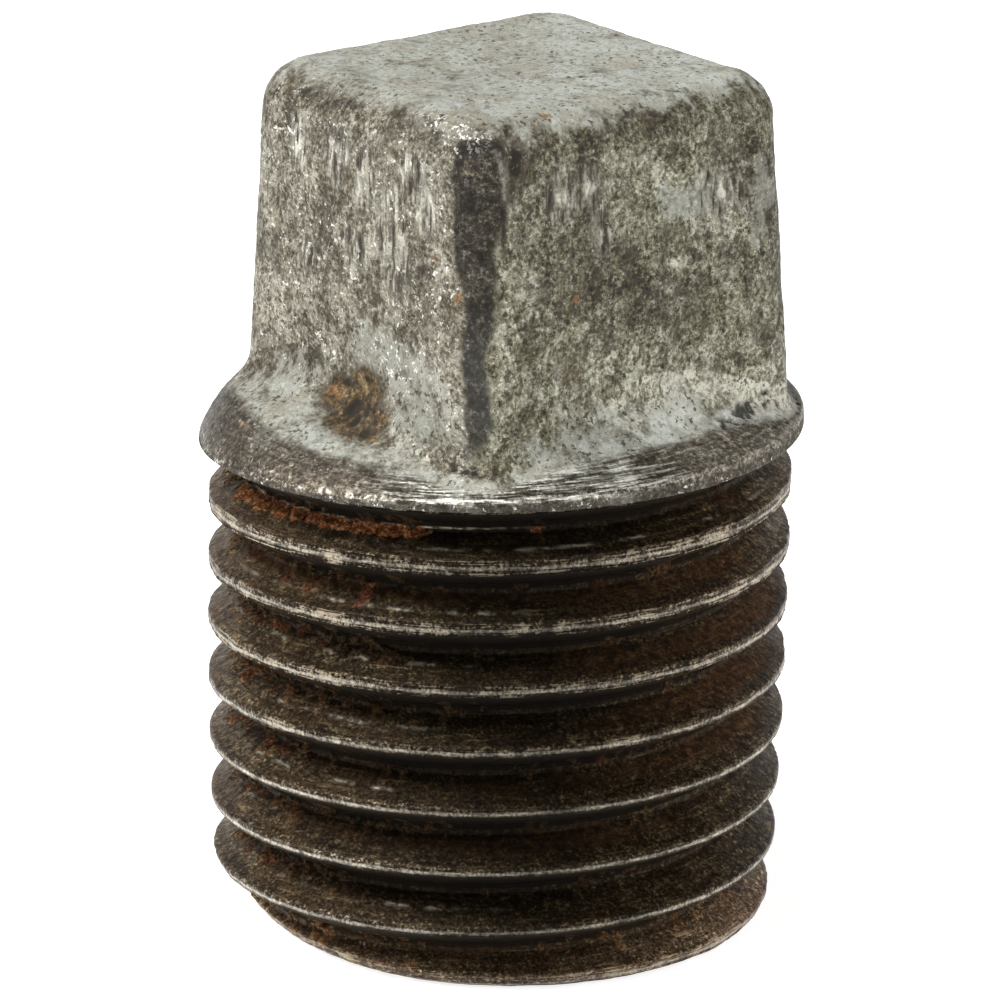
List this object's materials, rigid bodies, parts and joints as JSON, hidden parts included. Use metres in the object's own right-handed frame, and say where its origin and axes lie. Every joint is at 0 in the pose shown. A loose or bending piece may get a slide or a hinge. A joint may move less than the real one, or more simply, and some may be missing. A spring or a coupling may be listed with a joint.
{
  "type": "pipe plug",
  "caption": "Square-head taper-thread pipe plug: right-hand external 1:16 pipe thread below a zinc-coated drafted square head, for closing a female-threaded port.",
  "frame": {"origin": "centre of the flat small-end face, on the thread axis", "axes": "+Z along the thread axis from the small end towards the square head; the head's flats face +X, -X, +Y and -Y"},
  "size_m": [0.0136, 0.0136, 0.0197],
  "materials": {
    "bare_iron": "cut thread, dark, semi-gloss, worn crests",
    "hot_dip_zinc": "weathered hot-dip zinc, mottled, rough"
  },
  "bodies": {
    "root": {"plug_body": "bare_iron", "zinc_coating": "hot_dip_zinc"}
  },
  "joints": []
}
